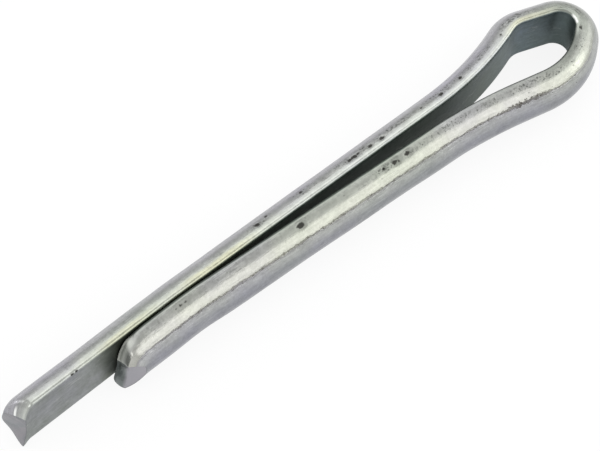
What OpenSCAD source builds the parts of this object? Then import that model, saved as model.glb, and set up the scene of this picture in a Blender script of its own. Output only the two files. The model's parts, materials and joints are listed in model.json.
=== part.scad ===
// Split cotter pin, made from one length of half-round steel wire.
// The wire is folded with its flat side inwards: an eye at the fold, then two
// legs that close on each other near the ends and make one round shank.
// Each flat is followed as one line from the long leg's end, round the eye,
// to the short leg's end. The wire lies to the left of that line all the way.
//
// Frame: X runs along the closed shank towards the eye, Y towards the long
// leg, Z up. The origin is on the shank's axis, half way along the stretch
// where the legs lie together. The pin lies on its side, as it comes to rest.

/* [Wire] */
// Diameter of the two legs closed together, and of the wire's round back
shank_d = 5.8; // [5.7:0.1:5.9]
// Gap between the flats where the legs lie together
leg_gap = 0.1; // [0.06:0.02:0.14]
// Rounding along the two edges of the flat
edge_r = 0.4; // [0.4:0.1:0.8]

/* [Legs] */
// Length of the stretch where the legs lie together
closed_l = 6; // [4:0.5:8]
// Length of the long leg past the end of the short one
prong_l = 10.4; // [4:0.1:14]
// Straight run of the long leg from the closed stretch to the neck
long_run = 33.2; // [30:0.2:36]
// Angle between the long leg's run and the shank
long_turn = 1.6; // [1.5:0.1:1.8]
// Angle between the short leg's run and the shank
short_turn = 4.1; // [4:0.1:4.3]
// Radius of the small bends at the end of the closed stretch
spread_r = 60; // [50:5:70]

/* [Eye] */
// Radius of the outward sweep from the long leg into the eye
neck_r = 37.5; // [36:0.5:40]
// Angle of that sweep
neck_turn = 18.9; // [18.5:0.1:19.3]
// Short straight between the sweep and the shoulder
shoulder_run = 0.2; // [0.2:0.1:0.5]
// Radius of the shoulder, where the long side turns back in
shoulder_r = 2.5; // [2:0.1:3]
// Angle of the shoulder
shoulder_turn = 38.2; // [38:0.1:38.5]
// Straight run from the shoulder to the nose
crown_run = 3.3; // [3:0.1:3.5]
// Inner radius of the nose, the tight fold at the far end
nose_r = 1.5; // [1.3:0.1:1.6]
// Angle of the nose
nose_turn = 123; // [122.8:0.1:123.4]
// Straight run across the far end
nose_run = 0.9; // [0.8:0.1:1.2]
// Radius of the cheek, the open curve into the short side
cheek_r = 7.2; // [7:0.1:7.4]
// Angle of the cheek
cheek_turn = 50.5; // [50.2:0.1:50.7]
// Radius of the long sweep from the eye into the short leg
throat_r = 60; // [50:5:70]

/* [Sheared ends] */
// How far each cut leans out from the top of the wire to the underside
shear_lean = 0.9; // [0.6:0.1:1.2]
// Radius rolled over the top edge of each end by the shear
roll_r = 2; // [1.6:0.1:2.6]
// Height of that roll, from the wire's top down to the crease
roll_drop = 1.2; // [0.8:0.1:1.5]
// How far the lip at the foot of the cut curls out past it
lip_out = 0.8; // [0.6:0.1:1]
// How far the shear drags the lip down, and towards the short leg's side
lip_drag = 0.3; // [0.2:0.05:0.35]
// Depth of the lip's root under the middle of the wire
lip_fall = 1.2; // [1:0.1:1.4]
// Thickness of the lip along the wire, at its root
lip_thick = 1.4; // [1.2:0.1:1.6]
// Size of the lip's section beside the wire's own
lip_share = 0.92; // [0.88:0.01:0.93]
// How far the lips tuck in from the round of the closed shank
lip_tuck = 0.1; // [0.05:0.01:0.15]
// Depth of the flat-sided cut on the short leg, before it falls back to a chamfer
chamfer_out = 1.9; // [1.6:0.1:2.2]
// Angle of that chamfer from the cut
chamfer_turn = 48; // [35:1:60]

/* [Hidden] */
$fn = 96;

back_r = shank_d / 2;
half_gap = leg_gap / 2;
// centre of the rounding inside each edge of the flat
edge_x = half_gap + edge_r;
edge_z = sqrt(pow(back_r - edge_r, 2) - pow(edge_x, 2));
// how far the cutting shapes reach past the wire
reach = 2 * shank_d;
// Straights and bends come by turns. A straight is thinner all round than the
// bends by a hair, and runs on into each of them, so that the two are one solid.
hair = 0.005;
lap = 0.05;

function unit(h) = [cos(h), sin(h)];
function cross2(a, b) = a[0] * b[1] - a[1] * b[0];
// chord of a bend of radius r that starts at heading h and turns left by t, or right where t < 0
function chord(r, h, t) = sign(t) * r * [sin(h + t) - sin(h), cos(h) - cos(h + t)];

// the throat turns the short leg round until it faces back along the shank
throat_turn = long_turn - neck_turn + shoulder_turn + nose_turn + cheek_turn - 180 - short_turn;

// A move is [length, 0] for a straight or [radius, turn] for a bend.
to_cheek = [
    [prong_l + closed_l, 0],
    [spread_r, -long_turn],
    [long_run, 0],
    [neck_r, neck_turn],
    [shoulder_run, 0],
    [shoulder_r, -shoulder_turn],
    [crown_run, 0],
    [nose_r, -nose_turn],
    [nose_run, 0],
    [cheek_r, -cheek_turn]
];

// A place is [x, y, heading].
long_tip = [-closed_l / 2 - prong_l, half_gap, 0];
function after(p, m) =
    let (d = m[1] == 0 ? m[0] * unit(p[2]) : chord(m[0], p[2], m[1]))
    [p[0] + d[0], p[1] + d[1], p[2] + m[1]];
function place(moves, i) = i == 0 ? long_tip : after(place(moves, i - 1), moves[i - 1]);

// The two straight runs of the short side close the loop on the closed stretch.
cheek_end = place(to_cheek, len(to_cheek));
leg_heading = cheek_end[2] + throat_turn;
to_close = [closed_l / 2, -half_gap] - [cheek_end[0], cheek_end[1]]
    - chord(throat_r, cheek_end[2], throat_turn) - chord(spread_r, leg_heading, short_turn);
between = cross2(unit(cheek_end[2]), unit(leg_heading));
cheek_run = cross2(to_close, unit(leg_heading)) / between;
short_run = cross2(unit(cheek_end[2]), to_close) / between;

moves = concat(to_cheek, [
    [cheek_run, 0],
    [throat_r, throat_turn],
    [short_run, 0],
    [spread_r, short_turn],
    [closed_l, 0]
]);

// Section of the wire: the flat on the line that is followed, the back to its right.
module half_round(inset) {
    for (side = [-1, 1])
        translate([edge_r, side * edge_z])
            circle(edge_r - inset);
    intersection() {
        translate([-half_gap, 0])
            circle(back_r - inset);
        polygon([
            [inset, -edge_z],
            [edge_r, -edge_z],
            [edge_r + edge_x, -2 * edge_z],
            [reach, -2 * edge_z],
            [reach, 2 * edge_z],
            [edge_r + edge_x, 2 * edge_z],
            [edge_r, edge_z],
            [inset, edge_z]
        ]);
    }
}

module straight(length) {
    translate([-lap, 0, 0])
        rotate([90, 0, 90])
            linear_extrude(length + 2 * lap)
                half_round(hair);
}

module bend(radius, turn) {
    if (turn < 0)
        translate([0, -radius, 0])
            rotate_extrude(angle = -turn, start = 90 + turn)
                translate([radius, 0])
                    half_round(0);
    else
        translate([0, radius, 0])
            rotate_extrude(angle = turn, start = -90)
                translate([radius, 0])
                    mirror([1, 0])
                        half_round(0);
}

// Side view of the stock that the shear leaves. From its top at x = 0 the cut
// leans out to the bottom, and above a crease the top edge is rolled over.
module shear_side(length) {
    crease_z = back_r - roll_drop;
    crease_x = -shear_lean * roll_drop / shank_d;
    roll_z = back_r - roll_r;
    roll_x = crease_x + sqrt(pow(roll_r, 2) - pow(crease_z - roll_z, 2));
    intersection() {
        polygon([
            [-shear_lean, -back_r],
            [0, back_r],
            [length, back_r],
            [length, -back_r]
        ]);
        union() {
            translate([roll_x, roll_z])
                circle(roll_r);
            translate([roll_x, -reach])
                square([length, 2 * reach]);
            translate([-reach, -reach])
                square([length, crease_z + reach]);
        }
    }
}

// Side view of the lip: a wedge that curls out of the foot of the cut. It
// starts a lap inside the cut, and is a third as thick at its foot.
module lip_side() {
    root_x = lap - shear_lean * (back_r + lip_fall) / shank_d;
    foot_x = -shear_lean - lip_out;
    foot_z = -back_r - lip_drag;
    polygon([
        [root_x, -lip_fall],
        [foot_x, foot_z],
        [foot_x + lip_thick / 3, foot_z],
        [root_x + lip_thick, -lip_fall]
    ]);
}

// Turns a side view into stock across the whole wire.
module across_wire() {
    translate([0, reach, 0])
        rotate([90, 0, 0])
            linear_extrude(2 * reach)
                children();
}

// A straight leg with a sheared end. The wire's top ends at x = 0. The lip is
// a smaller copy of the section, dragged down and to one side, but it stays
// within the round of the closed shank, so that the pin still goes in its hole.
module sheared(length, drag) {
    spare = 2 * (shear_lean + lip_out);
    intersection() {
        translate([-spare, 0, 0])
            straight(length + spare);
        across_wire()
            shear_side(length + reach);
    }
    intersection() {
        translate([-spare, drag * lip_drag, -lip_drag])
            scale(lip_share)
                straight(2 * spare);
        across_wire()
            lip_side();
        translate([-spare, -half_gap, 0])
            rotate([0, 90, 0])
                cylinder(r1 = back_r - lip_tuck, r2 = back_r, h = 3 * spare);
    }
}

// Plan of the short leg's end, with the chamfer along its back.
module chamfered_plan(length) {
    polygon([
        [-reach, -reach],
        [-reach, chamfer_out - (reach - shear_lean / 2) / tan(chamfer_turn)],
        [length / 2, chamfer_out + (length / 2 + shear_lean / 2) / tan(chamfer_turn)],
        [length / 2, 2 * reach],
        [2 * length, 2 * reach],
        [2 * length, -reach]
    ]);
}

module piece(m) {
    if (m[1] == 0)
        straight(m[0]);
    else
        bend(m[0], m[1]);
}

module at(p) {
    translate([p[0], p[1], 0])
        rotate(p[2])
            children();
}

module pin() {
    last = len(moves) - 1;
    color("#b4b6b4") {
        at(long_tip)
            sheared(moves[0][0], -1);
        for (i = [1:last - 1])
            at(place(moves, i))
                piece(moves[i]);
        at(after(place(moves, last), moves[last]))
            mirror([1, 0, 0])
                intersection() {
                    sheared(closed_l, 1);
                    translate([0, 0, -reach])
                        linear_extrude(2 * reach)
                            chamfered_plan(closed_l);
                }
    }
}

pin();
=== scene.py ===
import json
import math

import bpy
from mathutils import Matrix, Vector, noise


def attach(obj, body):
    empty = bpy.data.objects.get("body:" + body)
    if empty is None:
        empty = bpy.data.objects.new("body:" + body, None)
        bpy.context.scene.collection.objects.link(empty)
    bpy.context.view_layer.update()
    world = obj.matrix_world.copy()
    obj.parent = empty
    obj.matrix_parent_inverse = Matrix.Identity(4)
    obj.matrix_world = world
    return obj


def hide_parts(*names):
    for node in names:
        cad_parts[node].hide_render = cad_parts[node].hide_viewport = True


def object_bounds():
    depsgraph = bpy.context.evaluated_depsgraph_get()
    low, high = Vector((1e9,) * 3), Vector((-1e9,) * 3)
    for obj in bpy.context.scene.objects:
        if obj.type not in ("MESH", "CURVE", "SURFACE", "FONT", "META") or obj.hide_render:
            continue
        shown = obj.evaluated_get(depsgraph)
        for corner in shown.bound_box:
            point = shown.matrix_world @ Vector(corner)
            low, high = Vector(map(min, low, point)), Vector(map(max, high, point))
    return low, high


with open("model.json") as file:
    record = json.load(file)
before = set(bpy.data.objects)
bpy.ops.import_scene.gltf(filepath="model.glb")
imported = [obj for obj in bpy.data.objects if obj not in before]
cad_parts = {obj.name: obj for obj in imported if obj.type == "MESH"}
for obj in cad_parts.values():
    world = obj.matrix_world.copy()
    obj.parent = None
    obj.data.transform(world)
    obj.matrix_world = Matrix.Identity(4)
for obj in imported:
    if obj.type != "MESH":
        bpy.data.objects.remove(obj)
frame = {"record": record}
cad_low, cad_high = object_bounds()

# ---------------------------------------------------------------------------
# The wire
# One length of half-round steel wire, drawn through a die. It is folded on a
# former with its flat side inwards: an eye at the fold, then two legs that
# close on each other near the ends. It is zinc plated after it is bent.
# ---------------------------------------------------------------------------
mm = 0.001
touching = 0.001 * mm
back_r = frame["record"]["mounts"][0]["dims"]["r_mm"] * mm
half_gap = 0.05 * mm
edge_r = 0.4 * mm
edge_out = half_gap + edge_r
edge_up = math.sqrt((back_r - edge_r) ** 2 - edge_out**2)
edge_angle = math.atan2(edge_out, edge_up)
height = edge_up + edge_r
closed_half = 3 * mm
prong = 10.4 * mm
long_tip = -closed_half - prong
short_tip = -closed_half

# The flat is followed from the long leg's end, round the eye, to the short
# leg's end, with the wire on its left. A straight is a length in millimetres
# and 0, and a bend is a radius and the angle it turns left by.
moves = [
    (16.4, 0),
    (60, -1.6),
    (33.2, 0),
    (37.5, 18.9),
    (0.2, 0),
    (2.5, -38.2),
    (3.3, 0),
    (1.5, -123),
    (0.9, 0),
    (7.2, -50.5),
    (3.1, 0),
    (60, 10.3),
    (27.7, 0),
    (60, 4.1),
    (6, 0),
]
ring_gap = 0.18 * mm
fewest_steps = 2

# The section starts as one corner of a small plane, and is drawn up the flat
# and round the edges and the back.
bpy.ops.object.select_all(action="DESELECT")
bpy.ops.mesh.primitive_plane_add(size=mm, location=(long_tip, half_gap, -edge_up))
wire = bpy.context.object
wire.name = "wire"
wire.data.name = "wire"
bpy.ops.object.transform_apply(location=True, rotation=False, scale=False)
bpy.ops.object.mode_set(mode="EDIT")
bpy.ops.mesh.merge(type="CENTER")
flat_steps = 16
edge_steps = 9
back_steps = 36
bpy.ops.mesh.extrude_repeat(steps=flat_steps, offset=(0, 0, 2 * edge_up / flat_steps))
quarter = math.pi / 2
for steps, turn, out, up in [
    (edge_steps, quarter + edge_angle, edge_out, edge_up),
    (back_steps, 2 * (quarter - edge_angle), 0, 0),
    (edge_steps, quarter + edge_angle, edge_out, -edge_up),
]:
    bpy.ops.mesh.spin(steps=steps, angle=turn, center=(long_tip, out, up), axis=(1, 0, 0))
bpy.ops.mesh.select_all(action="SELECT")
bpy.ops.mesh.remove_doubles(threshold=touching)
bpy.ops.object.mode_set(mode="OBJECT")

# Each point keeps where it lay in the straight wire: how far along, how far
# out from the flat, and how high. Scratches and grain follow the wire by it.
straight = wire.data.attributes.new("straight_wire", "FLOAT_VECTOR", "POINT")
for point in wire.data.vertices:
    straight.data[point.index].vector = (0, point.co.y - half_gap, point.co.z)

place = Vector((long_tip, half_gap, 0))
heading = 0.0
run = 0.0
for size, turn in moves:
    known = len(wire.data.vertices)
    size *= mm
    turn = math.radians(turn)
    ahead = Vector((math.cos(heading), math.sin(heading), 0))
    left = Vector((-ahead.y, ahead.x, 0))
    bpy.ops.object.mode_set(mode="EDIT")
    if turn == 0:
        length = size
        steps = max(1, round(length / ring_gap))
        bpy.ops.mesh.extrude_repeat(steps=steps, offset=ahead * length / steps)
        centre = place
    else:
        length = size * abs(turn)
        steps = max(fewest_steps, round((size + back_r) * abs(turn) / ring_gap))
        centre = place + math.copysign(size, turn) * left
        bpy.ops.mesh.spin(steps=steps, angle=turn, center=centre, axis=(0, 0, -1))
    bpy.ops.object.mode_set(mode="OBJECT")
    straight = wire.data.attributes["straight_wire"]
    for point in wire.data.vertices[known:]:
        across = point.co - centre
        if turn == 0:
            gone = across.dot(ahead)
        else:
            swept = math.atan2(across.y, across.x) - math.atan2(-left.y * turn, -left.x * turn)
            gone = size * abs(math.remainder(swept, 2 * math.pi))
        straight.data[point.index].vector.x = run + gone
    if turn == 0:
        place = place + ahead * length
    else:
        place = centre + Matrix.Rotation(turn, 3, "Z") @ (place - centre)
    heading += turn
    run += length

# Both ends are cut by a shear. A cap of ever smaller rings closes each one.
cap_centre = 1.3 * mm
cap_rings = [0.97, 0.93, 0.9, 0.88, 0.85, 0.8, 0.75, 0.65, 0.5]
caps = []
for end, side in [(long_tip, 1), (short_tip, -1)]:
    bpy.ops.object.mode_set(mode="EDIT")
    bpy.ops.mesh.select_all(action="DESELECT")
    bpy.ops.object.mode_set(mode="OBJECT")
    for point in wire.data.vertices:
        point.select = abs(point.co.x - end) < 10 * touching and point.co.y * side > 0
    known = len(wire.data.vertices)
    bpy.ops.object.mode_set(mode="EDIT")
    middle = (end, side * (half_gap + cap_centre), 0)
    for shrink in cap_rings:
        bpy.ops.mesh.extrude_edges_move()
        bpy.ops.transform.resize(value=(1, shrink, shrink), center_override=middle)
    bpy.ops.mesh.edge_face_add()
    bpy.ops.object.mode_set(mode="OBJECT")
    straight = wire.data.attributes["straight_wire"]
    for point in wire.data.vertices[known:]:
        lay = straight.data[point.index].vector
        lay.y = abs(point.co.y) - half_gap
        lay.z = point.co.z
    caps.extend(range(known, len(wire.data.vertices)))
sheared = wire.data.attributes.new("sheared", "FLOAT", "POINT")
for index in caps:
    sheared.data[index].value = 1
straight = wire.data.attributes["straight_wire"]

# Close to each end the rings crowd together, where the shapes are finer.
crowded = 4 * mm
crowding_power = 1.7
for point in wire.data.vertices:
    lay = straight.data[point.index].vector
    from_end = max(0, min(lay.x, run - lay.x))
    if from_end < crowded:
        shift = crowded * (from_end / crowded) ** crowding_power - from_end
        point.co.x += shift
        lay.x += shift if lay.x < run / 2 else -shift

bpy.ops.object.mode_set(mode="EDIT")
bpy.ops.mesh.select_all(action="SELECT")
bpy.ops.mesh.normals_make_consistent(inside=False)
bpy.ops.object.mode_set(mode="OBJECT")


def smooth(low, high, value):
    """Runs from 0 at low to 1 at high, with a soft start and end."""
    share = max(0, min(1, (value - low) / (high - low)))
    return share * share * (3 - 2 * share)


# The back isn't quite true: the former and the rolls leave it slightly wavy,
# most of all on the outer side of the short leg. Pits lie along both legs, where
# scale was pressed in before the wire was drawn. A pit is how far along it lies
# in millimetres, its angle round the wire in degrees, and its size and depth in
# millimetres. The widest are dents, with no scale in them.
hair = 0.01 * mm
back_from, back_full = 0.3 * mm, 0.8 * mm
long_wave = 0.03 * mm
short_wave = 0.1 * mm
wave_length = 5 * mm
waves_round = 0.7
wave_fade = 6 * mm
wavy_from, wavy_to = (40, 65), (150, 120)
long_leg_end = 55 * mm
short_leg_start = 84 * mm
short_leg_full = 92 * mm
widest_pit = 0.8
dark_from = 0.11
dark_full_out = 0.1 * mm
pit_stretch = 0.5
pit_steep = 4
pit_end = 4
rag = 0.8
rag_size = 0.2 * mm
pits = [
    (5.3, 3, 0.3, 0.09),
    (5.8, 3, 0.3, 0.09),
    (6.5, 34, 0.9, 0.03),
    (10.5, 24, 0.3, 0.05),
    (14.5, 17, 0.3, 0.05),
    (23.5, 22, 0.35, 0.06),
    (28.2, 27, 0.5, 0.12),
    (29.5, 33, 0.4, 0.09),
    (33.8, 30, 0.35, 0.1),
    (34.4, 26, 0.3, 0.07),
    (36.5, 25, 0.3, 0.06),
    (39.9, 22, 0.4, 0.12),
    (40.5, 23, 0.5, 0.14),
    (41.0, 24, 0.35, 0.09),
    (41.8, 27, 0.3, 0.08),
    (42.5, 21, 0.45, 0.12),
    (44.0, 20, 0.5, 0.14),
    (47.2, 23, 0.25, 0.06),
    (49.5, 24, 0.35, 0.08),
    (52.2, 22, 0.45, 0.11),
    (53.4, 24, 0.25, 0.06),
    (55.2, 23, 0.45, 0.11),
    (62.5, 20, 0.4, 0.07),
    (63.8, 26, 0.35, 0.06),
    (69.5, 12, 0.35, 0.05),
    (72.2, 13, 0.45, 0.09),
    (74.6, 14, 0.35, 0.06),
    (79.2, 16, 0.3, 0.06),
    (85.8, 84, 1.1, 0.14),
    (96.8, 19, 0.45, 0.12),
    (98.0, 22, 0.35, 0.08),
    (98.5, 20, 0.45, 0.12),
    (99.8, 19, 0.4, 0.09),
    (103.2, 89, 1.3, 0.12),
    (104.8, 20, 0.35, 0.06),
    (110.2, 21, 0.6, 0.13),
    (116.2, 88, 1.3, 0.12),
    (122.2, 92, 1.4, 0.14),
    (123.8, 19, 0.4, 0.07),
    (124.4, 19, 0.4, 0.07),
    (125.0, 19, 0.35, 0.06),
]
pitted = wire.data.attributes.new("pitted", "FLOAT", "POINT")
straight = wire.data.attributes["straight_wire"]
normals = [point.normal.copy() for point in wire.data.vertices]
for point, normal in zip(wire.data.vertices, normals):
    along, out, up = straight.data[point.index].vector
    round_wire = math.atan2(out + half_gap, up)
    degrees = math.degrees(round_wire)
    on_back = smooth(back_from, back_full, out)
    wave = noise.noise(Vector((along / wave_length, waves_round * round_wire, 0)))
    wave *= on_back * smooth(*wavy_from, degrees) * smooth(*wavy_to, degrees)
    sink = hair - wave * long_wave * smooth(long_leg_end, long_leg_end - wave_fade, along)
    sink -= wave * short_wave * smooth(short_leg_start, short_leg_full, along)
    for pit_along, angle, size, depth in pits:
        gone = (along - pit_along * mm) / (size * mm)
        aside = math.radians(degrees - angle) * back_r / (size * mm)
        near = gone * gone * pit_stretch + aside * aside
        if near < pit_end:
            ragged = 1 + rag * noise.noise(point.co / rag_size)
            depth_here = math.exp(-pit_steep * near * ragged)
            sink += depth * mm * depth_here * on_back
            if size < widest_pit:
                dark = depth_here * min(1, depth / dark_from) * smooth(0, dark_full_out, out)
                pitted.data[point.index].value = max(pitted.data[point.index].value, dark)
    point.co -= normal * sink

# The shear rolls the top of the wire over down to a crease, leans the cut out
# towards the foot, and drags a lip out there. The long leg's end is rolled
# tightly, and in a little at its back. The short leg's is rolled deeper, at
# first softly and then tightly, and there the cut falls back along the back.
roll_share = 0.97
long_roll = 1.1 * mm
long_crease = 0.5 * mm
back_tuck = 0.25
tuck_from, tuck_full = -0.5 * back_r, 0.2 * back_r
back_reach = 0.32
reach_from, reach_full = -0.95 * back_r, -0.35 * back_r
furthest = -1.45 * mm
short_roll = 3.2 * mm
less_rolled = 0.5
less_rolled_out = 1.3 * mm
tight_share = 0.55
tight_roll = 0.28
short_crease = -1.2 * mm
crease_rise = 0.7
lean = 0.9 * mm
lip_root = -0.3 * back_r
lip_out = 0.57 * mm
lip_drag = 0.25 * mm
lip_length = 0.3 * mm
chamfer_out = 1.7 * mm
chamfer = math.tan(math.radians(48))
reach = 4 * mm
torn = 0.02 * mm
torn_grain = 0.3 * mm
sheared = wire.data.attributes["sheared"]
for point in wire.data.vertices:
    along, out, up = straight.data[point.index].vector
    from_end = max(0, min(along, run - along))
    if from_end > reach:
        continue
    on_long = along < run / 2
    if on_long:
        rolled, crease = long_roll, long_crease
    else:
        rolled = short_roll * (1 - less_rolled * smooth(0, less_rolled_out, out))
        crease = short_crease + crease_rise * out
    rounding = roll_share * max(0, 1 - from_end / rolled)
    drop = 1 - math.sqrt(1 - rounding**2)
    if not on_long:
        rounding = roll_share * max(0, 1 - from_end / (rolled * tight_roll))
        drop += tight_share * (1 - math.sqrt(1 - rounding**2) - drop)
    point.co.z -= drop * max(0, up - crease)
    cut = -lean * (height - point.co.z) / (2 * height)
    if on_long:
        point.co.y -= back_tuck * drop * out * smooth(tuck_from, tuck_full, up)
        cut -= back_reach * out * smooth(reach_from, reach_full, up)
        cut = max(cut, furthest)
    else:
        cut += chamfer * max(0, out - chamfer_out)
    if sheared.data[point.index].value > 0:
        cut += torn * noise.noise(point.co / torn_grain)
    point.co.x += cut * (1 - from_end / reach)
    foot = smooth(lip_root, -height, up) * smooth(lip_length, 0, from_end)
    point.co.x -= lip_out * foot
    point.co.y -= lip_drag * foot

sharpest_smooth = math.radians(35)
bpy.ops.object.shade_smooth_by_angle(angle=sharpest_smooth)


def linear(hex_colour):
    """Turns an sRGB hex colour into the linear RGBA that a shader takes."""
    channels = [int(hex_colour[i : i + 2], 16) / 255 for i in (1, 3, 5)]
    return [c / 12.92 if c <= 0.04045 else ((c + 0.055) / 1.055) ** 2.4 for c in channels] + [1]


def add(tree, kind, inputs=None, **settings):
    """Adds a node with its settings, and sets or links its inputs."""
    made = tree.nodes.new(kind)
    for name, value in settings.items():
        setattr(made, name, value)
    for name, value in (inputs or {}).items():
        if isinstance(value, bpy.types.NodeSocket):
            tree.links.new(value, made.inputs[name])
        else:
            made.inputs[name].default_value = value
    return made


# Bright zinc plate on drawn steel wire. The plate is thin, so the drawn surface
# shows through it: a soft metal gloss, clouded and slightly stained, duller
# along the strip that rubbed in the die, and greener on the flat. Into its colour
# are also painted highlight bands and glints, and shade on the flat, low on the
# back and on the eye's inner edge. It reads the place in the straight wire in
# millimetres: along, out and up.
zinc = bpy.data.materials.new("bright_zinc_plate")
zinc.use_nodes = True
tree = zinc.node_tree
shader = tree.nodes["Principled BSDF"]
shader.inputs["Metallic"].default_value = 1
whole_wire = 140
half_turn = 180
lay = add(tree, "ShaderNodeAttribute", attribute_name="straight_wire").outputs["Vector"]
spot = add(tree, "ShaderNodeVectorMath", {0: lay, "Scale": 1 / mm}, operation="SCALE").outputs[0]
along, out, up = add(tree, "ShaderNodeSeparateXYZ", {0: spot}).outputs
along_share = add(tree, "ShaderNodeMath", {0: along, 1: whole_wire}, operation="DIVIDE").outputs[0]

# Clouds are 8 mm across, what wanders and crowds 2 mm, mottle 1.5 mm, fine mottle
# 0.4 mm and grit 0.2 mm. Drawing grain is ten times as long as it is wide, and
# scratches are longer still.
grain_place, line_place = [
    add(tree, "ShaderNodeVectorMath", {0: spot, 1: squeeze}, operation="MULTIPLY").outputs[0]
    for squeeze in [(0.1, 1, 1), (0.06, 1.6, 1.6)]
]
noises = {}
for name, place, scale, detail, roughness in [
    ("clouds", spot, 0.12, 3, 0.5),
    ("wander", spot, 0.4, 6, 0.7),
    ("crowding", spot, 0.4, 3, 0.5),
    ("seam_wander", spot, 0.5, 5, 0.7),
    ("mottle", spot, 0.7, 4, 0.6),
    ("fine", spot, 2.6, 3, 0.7),
    ("grit", spot, 4.5, 3, 0.6),
    ("grain", grain_place, 4, 4, 0.5),
    ("lines", line_place, 1, 2, 0.5),
]:
    texture = add(
        tree,
        "ShaderNodeTexNoise",
        {"Vector": place, "Scale": scale, "Detail": detail, "Roughness": roughness},
    )
    noises[name] = texture.outputs["Fac"]

# The angle round the wire, from its top edge. In degrees it wanders a little.
wander_by = 0.24
beyond_axis = add(tree, "ShaderNodeMath", {0: out, 1: half_gap / mm}, operation="ADD").outputs[0]
bare_angle = add(tree, "ShaderNodeMath", {0: beyond_axis, 1: up}, operation="ARCTAN2").outputs[0]
wandered = add(
    tree,
    "ShaderNodeMath",
    {0: noises["wander"], 1: wander_by, 2: -wander_by / 2},
    operation="MULTIPLY_ADD",
).outputs[0]
angle = add(tree, "ShaderNodeMath", {0: bare_angle, 1: wandered}, operation="ADD").outputs[0]
degrees = add(tree, "ShaderNodeMath", {0: angle, 1: math.degrees(1)}, operation="MULTIPLY").outputs[0]
round_share = add(tree, "ShaderNodeMath", {0: degrees, 1: half_turn}, operation="DIVIDE").outputs[0]

# Colours by angle round each leg, as the two were rubbed differently, and with
# painted highlight bands and painted shade towards the underside and silhouette.
# Colours by place along the wire for painted shade and a green tint on the flat in
# the gap and the eye, and in clouds for the flat, the torn faces and the
# passivated film's tint of lavender to green. Then shares by place along the wire:
# of the shade low in the loop, of straw yellow film, of painted shade on the eye's
# inner edge, of specks, and of the seam's smear.
ramps = {}
for name, place, whole, stops in [
    (
        # Long leg: a painted highlight band by the top edge, the rubbed strip duller, and painted shade
        # towards the underside.
        "long_round_light_and_wear",
        round_share,
        half_turn,
        [
            (0, "#b0b4af"),
            (13, "#b3b6b2"),
            (20, "#aaaca9"),
            (27, "#9fa1a0"),
            (34, "#a3a3a6"),
            (42, "#acacb0"),
            (60, "#a3a3a8"),
            (78, "#8e8e93"),
            (180, "#8b8c90"),
        ],
    ),
    (
        # Short leg: darker by the flat's edge, a painted highlight band from 32 to 48 degrees, the seam's
        # dip below it, and painted shade towards the underside.
        "short_round_light_and_wear",
        round_share,
        half_turn,
        [
            (0, "#8e918c"),
            (8, "#999c97"),
            (15, "#a6a8a3"),
            (25, "#a8aaa4"),
            (32, "#b6b7af"),
            (48, "#b8b9b0"),
            (51.5, "#a3a3a4"),
            (56, "#b7b9b7"),
            (66, "#aaacac"),
            (78, "#97999d"),
            (92, "#8d8f94"),
            (180, "#898b90"),
        ],
    ),
    (
        # Painted shade on the flat, darkest where the legs close, with a green tint along the gap and the
        # eye.
        "flat_shade_and_tint",
        along_share,
        whole_wire,
        [
            (0, "#ffffff"),
            (7.4, "#fdfdfd"),
            (8.6, "#c4c8be"),
            (10.2, "#5c6056"),
            (12.5, "#8e937f"),
            (18, "#c8cdae"),
            (30, "#a6b5a8"),
            (46, "#96a899"),
            (58, "#ccd8d0"),
            (66, "#d2e4ec"),
            (72, "#98a5a4"),
            (78, "#b0bab3"),
            (90, "#a8b2a8"),
            (140, "#a2aaa0"),
        ],
    ),
    # The flat's clouded colour, painted darker than the back as shade.
    ("flat_clouds", noises["mottle"], 1, [(0.3, "#8c908e"), (0.7, "#999b9e")]),
    ("torn_clouds", noises["mottle"], 1, [(0.35, "#84878a"), (0.65, "#949296")]),
    ("tint", noises["clouds"], 1, [(0.32, "#f6f4fb"), (0.5, "#fbfbf9"), (0.68, "#f7faf4")]),
    (
        "in_loop",
        along_share,
        whole_wire,
        [(20, 0), (34, 0.55), (42, 0.8), (52, 0.8), (57, 0.4), (64, 0.25), (74, 0.45), (140, 0.42)],
    ),
    (
        "straw_run",
        along_share,
        whole_wire,
        [
            (0, 0),
            (8, 0.1),
            (10, 0.45),
            (13, 0.4),
            (16, 0.12),
            (18, 0.2),
            (21, 0.6),
            (25, 0.5),
            (28, 0.1),
            (34, 0),
            (62, 0),
            (65, 0.5),
            (68, 0.3),
            (70, 0),
        ],
    ),
    (
        # Painted shade on the eye's inner edge, by place along the wire.
        "eye_rim_shade_run",
        along_share,
        whole_wire,
        [
            (64, 0),
            (67, 0.2),
            (70, 0.35),
            (71, 0.1),
            (72.4, 0.1),
            (73.6, 0.6),
            (77, 0.4),
            (81, 0.2),
            (86, 0),
        ],
    ),
    (
        "specked",
        along_share,
        whole_wire,
        [(23, 0.25), (29, 1), (100, 1), (107, 0.3)],
    ),
    (
        "smear",
        along_share,
        whole_wire,
        [
            (76, 0),
            (78.5, 0.3),
            (80.5, 0.75),
            (83, 0.9),
            (85, 0.55),
            (89, 0.4),
            (95, 0.4),
            (127, 0.44),
            (130, 0),
        ],
    ),
]:
    ramp = add(tree, "ShaderNodeValToRGB", {0: place})
    elements = ramp.color_ramp.elements
    for _ in stops[len(elements) :]:
        elements.new(1)
    for element, (stop, film) in zip(elements, stops):
        element.position = stop / whole
        element.color = linear(film) if isinstance(film, str) else [film] * 3 + [1]
    ramps[name] = ramp.outputs[0]

# Where the short leg's side begins, in the nose, and where the flat's darker colour,
# with its painted shade, starts to reach round the edge.
short_side, shaded_corner = [
    add(
        tree,
        "ShaderNodeMapRange",
        {"Value": along, "From Min": none, "From Max": full},
        interpolation_type="SMOOTHSTEP",
    ).outputs[0]
    for none, full in [(67, 77), (88, 96)]
]
sheared, pitted = [
    add(tree, "ShaderNodeAttribute", attribute_name=name).outputs["Fac"]
    for name in ("sheared", "pitted")
]
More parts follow.
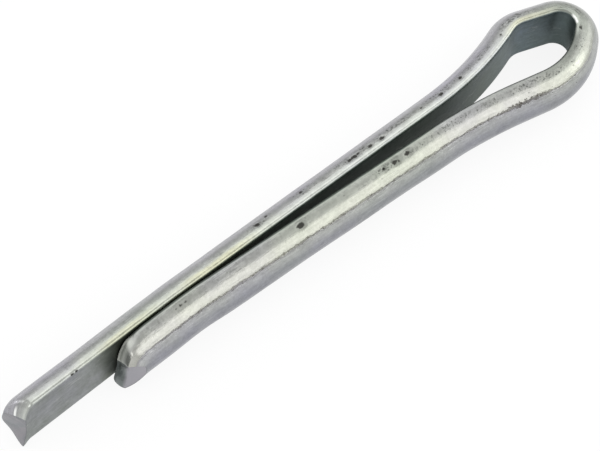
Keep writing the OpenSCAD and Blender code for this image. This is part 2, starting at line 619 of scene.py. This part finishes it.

# Measures worked out from others, each as a value times a factor plus more: the
# rubbed strip's angle, how far out the flat's painted shade lets the back begin,
# the seam's own wandering line, its beads, the pits' ragged depth, and the size
# of the specks.
seam_wander_by = 0.16
measures = {}
for name, value, factor, more in [
    ("strip_middle", short_side, -7, 27),
    ("corner_out", shaded_corner, -0.22, out),
    ("seam_line", noises["seam_wander"], seam_wander_by, bare_angle),
    ("beads", noises["fine"], 5, -1.7),
    ("pit_depth", noises["fine"], 0.5, pitted),
    ("speck_size", noises["crowding"], 0.9, -0.44),
]:
    measure = add(tree, "ShaderNodeMath", {0: value, 1: factor, 2: more}, operation="MULTIPLY_ADD")
    measures[name] = measure.outputs[0]

# How far a point lies to either side of the rubbed strip, the die's seam, a
# scratch, the painted glint on the long tip, and the painted glint in the eye's nose.
aside = {}
for name, place, middle in [
    ("strip", degrees, measures["strip_middle"]),
    ("seam", measures["seam_line"], math.radians(50) + seam_wander_by / 2),
    ("scratch", noises["lines"], 0.5),
    ("glint", bare_angle, math.radians(30)),
    ("nose_glint", along, 71.2),
]:
    off = add(tree, "ShaderNodeMath", {0: place, 1: middle}, operation="SUBTRACT").outputs[0]
    aside[name] = add(tree, "ShaderNodeMath", {0: off}, operation="ABSOLUTE").outputs[0]
seam_room = measures["beads"]
for share in (ramps["smear"], 0.1):
    seam_room = add(tree, "ShaderNodeMath", {0: seam_room, 1: share}, operation="MULTIPLY").outputs[0]
seam_room = add(tree, "ShaderNodeMath", {0: seam_room, 1: aside["seam"]}, operation="SUBTRACT").outputs[0]

# Where each finish lies: there is none of it at the first place, and it is full
# at the second.
soft, even = "SMOOTHSTEP", "LINEAR"
wire_end = run / mm
masks = {}
for name, place, none, full, fade in [
    ("back", measures["corner_out"], 0.02, 0.18, soft),
    ("long_side", along, 70, 64, soft),
    ("lower_down", up, 1.8, -2.2, even),
    ("by_gap", degrees, 20, 9, soft),
    ("inner_edge", degrees, 22, 8, soft),
    ("from_edge", out, 0.2, 0.3, even),
    ("to_edge", out, 0.52, 0.42, even),
    ("by_strip", aside["strip"], 10, 4, soft),
    ("crowd", noises["crowding"], 0.36, 0.58, even),
    ("fleck", noises["grit"], 0.51, 0.59, soft),
    ("seam", seam_room, -0.02, 0.015, soft),
    ("line", aside["scratch"], 0.008, 0, even),
    ("scratched", noises["crowding"], 0.5, 0.62, even),
    ("pit", measures["pit_depth"], 0.5, 0.85, soft),
    ("inner_facet", out, 1.6, 1.2, even),
    ("outer_facet", out, 1.2, 1.6, even),
    ("short_nose", along, wire_end - 1.7, wire_end - 0.7, soft),
    ("nose_out", out, 1.5, 0.7, soft),
    ("near_top", up, 2, 2.4, even),
    ("glint", aside["glint"], 0.08, 0.02, soft),
    ("long_nose", along, 0.45, 0.1, soft),
    ("nose_glint", aside["nose_glint"], 0.7, 0.3, soft),
    ("eye_edge", degrees, 9, 5, soft),
]:
    mask = add(
        tree,
        "ShaderNodeMapRange",
        {"Value": place, "From Min": none, "From Max": full},
        interpolation_type=fade,
    )
    masks[name] = mask.outputs[0]
back, seam, pit = masks["back"], masks["seam"], masks["pit"]
flat, bare = [
    add(tree, "ShaderNodeMath", {0: 1, 1: share}, operation="SUBTRACT").outputs[0]
    for share in (back, sheared)
]

# Specks 0.15 mm across lie where scale was pressed in: thickly in the rubbed
# strip, and thinly elsewhere on the back.
cells = add(tree, "ShaderNodeTexVoronoi", {"Vector": spot, "Scale": 2.4, "Randomness": 1})
strip = add(tree, "ShaderNodeMath", {0: masks["by_strip"], 1: back}, operation="MULTIPLY").outputs[0]
speck_room = add(
    tree,
    "ShaderNodeMath",
    {0: strip, 1: 0.2, 2: measures["speck_size"]},
    operation="MULTIPLY_ADD",
).outputs[0]
speck_room = add(
    tree,
    "ShaderNodeMath",
    {0: speck_room, 1: cells.outputs["Distance"]},
    operation="SUBTRACT",
).outputs[0]
in_speck = add(
    tree,
    "ShaderNodeMapRange",
    {"Value": speck_room, "From Min": -0.03, "From Max": 0.07},
    interpolation_type="SMOOTHSTEP",
).outputs[0]

# A finish that needs several shares at once has their product.
products = {}
for name, shares in [
    ("loop_shade", [masks["lower_down"], ramps["in_loop"]]),
    ("straw", [masks["by_gap"], ramps["straw_run"], back]),
    # A painted highlight along the long leg's top edge.
    ("painted_edge_highlight", [masks["from_edge"], masks["to_edge"], masks["long_side"], 0.5]),
    # Painted shade on the eye's inner edge.
    ("eye_rim_shade", [masks["inner_edge"], back, ramps["eye_rim_shade_run"]]),
    ("speck", [in_speck, back, ramps["specked"]]),
    ("flecks", [masks["fleck"], strip, masks["crowd"], ramps["specked"], 0.7]),
    ("scratch", [masks["line"], masks["scratched"]]),
    # The short tip's cut face: painted shade on its inner part, painted light on its outer part.
    ("inner_facet", [masks["inner_facet"], short_side, 0.7]),
    ("outer_facet", [masks["outer_facet"], short_side, 0.7]),
    # Painted light: the short tip's roll near the top is painted pale, and is also rougher.
    ("painted_light_roll", [masks["short_nose"], masks["nose_out"], masks["near_top"]]),
    # Painted shade along the crease between the rolled top and the cut face.
    ("crease", [sheared, bare, 2.4]),
    # Painted glints on the long tip's roll and in the eye's nose.
    ("glint", [masks["glint"], masks["long_nose"], bare]),
    ("nose_glint", [masks["nose_glint"], masks["eye_edge"], back]),
]:
    product = shares[0]
    for share in shares[1:]:
        product = add(tree, "ShaderNodeMath", {0: product, 1: share}, operation="MULTIPLY").outputs[0]
    products[name] = product
speck, scratch, painted_light_roll = products["speck"], products["scratch"], products["painted_light_roll"]

# Sums of a start and of values times their weights: how light the plate is, how
# deep the seam's stain is, the gloss, and the relief. The gloss is that of plate
# over drawn wire, duller on the flat, in the marks and on the torn faces. The
# relief is a fine orange peel, grain and the marks, in shares of relief_depth.
mottle, fine, grain = noises["mottle"], noises["fine"], noises["grain"]
relief_depth = 0.045 * mm
sums = {}
for name, total, terms in [
    ("lightness", 0.36, [(mottle, 0.42), (fine, 0.5), (grain, 0.36)]),
    ("seam_stain", 0.1, [(ramps["smear"], 0.6), (masks["fleck"], 0.35)]),
    (
        "rough",
        0.17,
        [
            (mottle, 0.14),
            (flat, 0.3),
            (strip, 0.1),
            (speck, 0.2),
            (seam, 0.25),
            (pit, 0.4),
            (sheared, 0.12),
            (painted_light_roll, 0.3),
        ],
    ),
    (
        "relief",
        0,
        [(mottle, 0.8), (fine, 0.3), (grain, 0.35), (speck, -0.5), (seam, -0.8), (scratch, -0.15)],
    ),
]:
    for value, weight in terms:
        term = add(tree, "ShaderNodeMath", {0: value, 1: weight, 2: total}, operation="MULTIPLY_ADD")
        total = term.outputs[0]
    sums[name] = total

# What shows of each mark in the colour.
shown = {}
for name, value, share, operation in [
    ("seam", seam, sums["seam_stain"], "MULTIPLY"),
    ("speck", speck, 0.6, "MULTIPLY"),
    ("scratch", scratch, 0.35, "MULTIPLY"),
    ("pit", pit, 0.9, "MULTIPLY"),
    # The painted glints.
    ("painted_glints", products["glint"], products["nose_glint"], "MAXIMUM"),
]:
    shown[name] = add(tree, "ShaderNodeMath", {0: value, 1: share}, operation=operation).outputs[0]

# The colours are laid over each other: first those of the flat and of the torn
# faces, each with painted shade, then those of the whole wire, from the back with
# its painted highlights and shade to the painted glints.
over, times = "MIX", "MULTIPLY"
bases = []
for colour, layers in [
    (
        ramps["flat_clouds"],
        # Painted shade and a green tint on the flat, then the painted shade low in the loop.
        [(1, ramps["flat_shade_and_tint"], times), (products["loop_shade"], linear("#2c302c"), over)],
    ),
    (
        ramps["torn_clouds"],
        [
            # Painted shade on the cut face's inner part, painted light on its outer part.
            (products["inner_facet"], linear("#6e7673"), over),
            (products["outer_facet"], linear("#a9a7ad"), over),
        ],
    ),
]:
    for share, film, blend in layers:
        layer = add(
            tree,
            "ShaderNodeMix",
            {"Factor": share, 6: colour, 7: film},
            data_type="RGBA",
            blend_type=blend,
        )
        colour = layer.outputs[2]
    bases.append(colour)
flat_colour, torn_colour = bases
# The back's colours by angle, with painted highlight bands and painted shade.
colour = ramps["long_round_light_and_wear"]
for share, film, blend in [
    (short_side, ramps["short_round_light_and_wear"], over),
    (flat, flat_colour, over),
    (1, ramps["tint"], times),
    # A painted highlight along the long leg's top edge.
    (products["painted_edge_highlight"], linear("#cdd0c9"), over),
    (products["straw"], linear("#bdbb94"), over),
    # Painted shade on the eye's inner edge.
    (products["eye_rim_shade"], linear("#3e413e"), over),
    (1, sums["lightness"], times),
    (shown["speck"], linear("#4a4c49"), over),
    (products["flecks"], linear("#5c5e5a"), over),
    (shown["seam"], linear("#45413a"), over),
    (shown["scratch"], linear("#d3d4d2"), over),
    (shown["pit"], linear("#3c3b38"), over),
    # Painted light on the short tip's roll.
    (painted_light_roll, linear("#dcded8"), over),
    (sheared, torn_colour, over),
    # Painted shade along the crease between the rolled top and the cut face.
    (products["crease"], linear("#5d5f60"), over),
    # Painted glints on the long tip's roll and in the eye's nose.
    (shown["painted_glints"], linear("#f6f7f4"), over),
]:
    layer = add(
        tree,
        "ShaderNodeMix",
        {"Factor": share, 6: colour, 7: film},
        data_type="RGBA",
        blend_type=blend,
    )
    colour = layer.outputs[2]
bump = add(tree, "ShaderNodeBump", {"Height": sums["relief"], "Strength": 1, "Distance": relief_depth})
tree.links.new(colour, shader.inputs["Base Color"])
tree.links.new(sums["rough"], shader.inputs["Roughness"])
tree.links.new(bump.outputs[0], shader.inputs["Normal"])
wire.data.materials.append(zinc)

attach(wire, "root")
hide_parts("pin")

# ---------------------------------------------------------------------------
# The stage
# A plain pale floor under the pin, soft light from above and a grey surround.
# The floor shows white, and still takes the pin's shadow.
# ---------------------------------------------------------------------------
floor_size = 3
shown_white = 0.88
bpy.ops.object.select_all(action="DESELECT")
bpy.ops.mesh.primitive_plane_add(size=floor_size, location=(0, 0, cad_low[2]))
floor = bpy.context.object
floor.name = "floor"
paper = bpy.data.materials.new("white_paper")
paper.use_nodes = True
tree = paper.node_tree
sheet = tree.nodes["Principled BSDF"]
sheet.inputs["Base Color"].default_value = linear("#f4f4f4")
sheet.inputs["Roughness"].default_value = 0.9
rays = add(tree, "ShaderNodeLightPath")
seen = rays.outputs["Is Camera Ray"]
for ray in ("Is Glossy Ray", "Is Transmission Ray"):
    seen = add(tree, "ShaderNodeMath", {0: seen, 1: rays.outputs[ray]}, operation="ADD").outputs[0]
white_share = add(
    tree,
    "ShaderNodeMath",
    {0: seen, 1: shown_white},
    operation="MULTIPLY",
    use_clamp=True,
).outputs[0]
white = add(tree, "ShaderNodeEmission", {"Color": linear("#ffffff"), "Strength": 1}).outputs[0]
lit = add(tree, "ShaderNodeMixShader", {0: white_share, 1: sheet.outputs[0], 2: white}).outputs[0]
tree.links.new(lit, tree.nodes["Material Output"].inputs["Surface"])
floor.data.materials.append(paper)

world = bpy.data.worlds.new("surround")
bpy.context.scene.world = world
world.use_nodes = True
surround_grey = 0.8
surround = world.node_tree.nodes["Background"]
surround.inputs["Color"].default_value = [surround_grey] * 3 + [1]

# Softboxes hang over both sides of the legs and beyond the eye. Two small lamps
# low beyond the tips put a glint on each rolled edge, and on the long tip a painted
# glint is added to it. A lamp is its direction from the pin, its distance, its
# width and depth in metres, and its glow, where 1 takes full_glow watts a square
# metre.
full_glow = 4
look_at = Vector((18.91, -0.67, -0.08)) * mm
for name, towards, distance, width, depth, glow in [
    ("softbox_right", (0.35, -0.72, 0.60), 0.40, 0.60, 0.30, 0.75),
    ("softbox_left", (0.35, 0.5, 0.78), 0.40, 0.60, 0.40, 0.62),
    ("softbox_end", (0.85, -0.30, 0.30), 0.40, 0.36, 0.22, 0.60),
    ("softbox_tips", (-0.78, -0.28, 0.46), 0.40, 0.14, 0.14, 1.2),
    ("tip_lamp", (-0.64, 0.72, 0.26), 0.35, 0.07, 0.16, 1.6),
]:
    panel = bpy.data.lights.new(name, "AREA")
    panel.shape = "RECTANGLE"
    panel.size = width
    panel.size_y = depth
    panel.energy = full_glow * width * depth * glow
    lamp = bpy.data.objects.new(name, panel)
    bpy.context.collection.objects.link(lamp)
    towards = Vector(towards).normalized()
    lamp.location = look_at + distance * towards
    lamp.rotation_euler = towards.to_track_quat("Z", "Y").to_euler()

# The camera looks down on the pin from beyond the long leg's end.
azimuth = math.radians(-41.98)
elevation = math.radians(58.96)
distance = 150.3 * mm
camera_data = bpy.data.cameras.new("camera")
camera_data.sensor_width = 36
camera_data.lens = 92
camera_data.clip_start = 0.01
camera = bpy.data.objects.new("camera", camera_data)
bpy.context.collection.objects.link(camera)
towards = Vector(
    (
        math.cos(elevation) * math.sin(azimuth),
        -math.cos(elevation) * math.cos(azimuth),
        math.sin(elevation),
    )
)
camera.location = look_at + distance * towards
camera.rotation_euler = towards.to_track_quat("Z", "Y").to_euler()
bpy.context.scene.camera = camera
bpy.context.scene.view_settings.view_transform = "Standard"
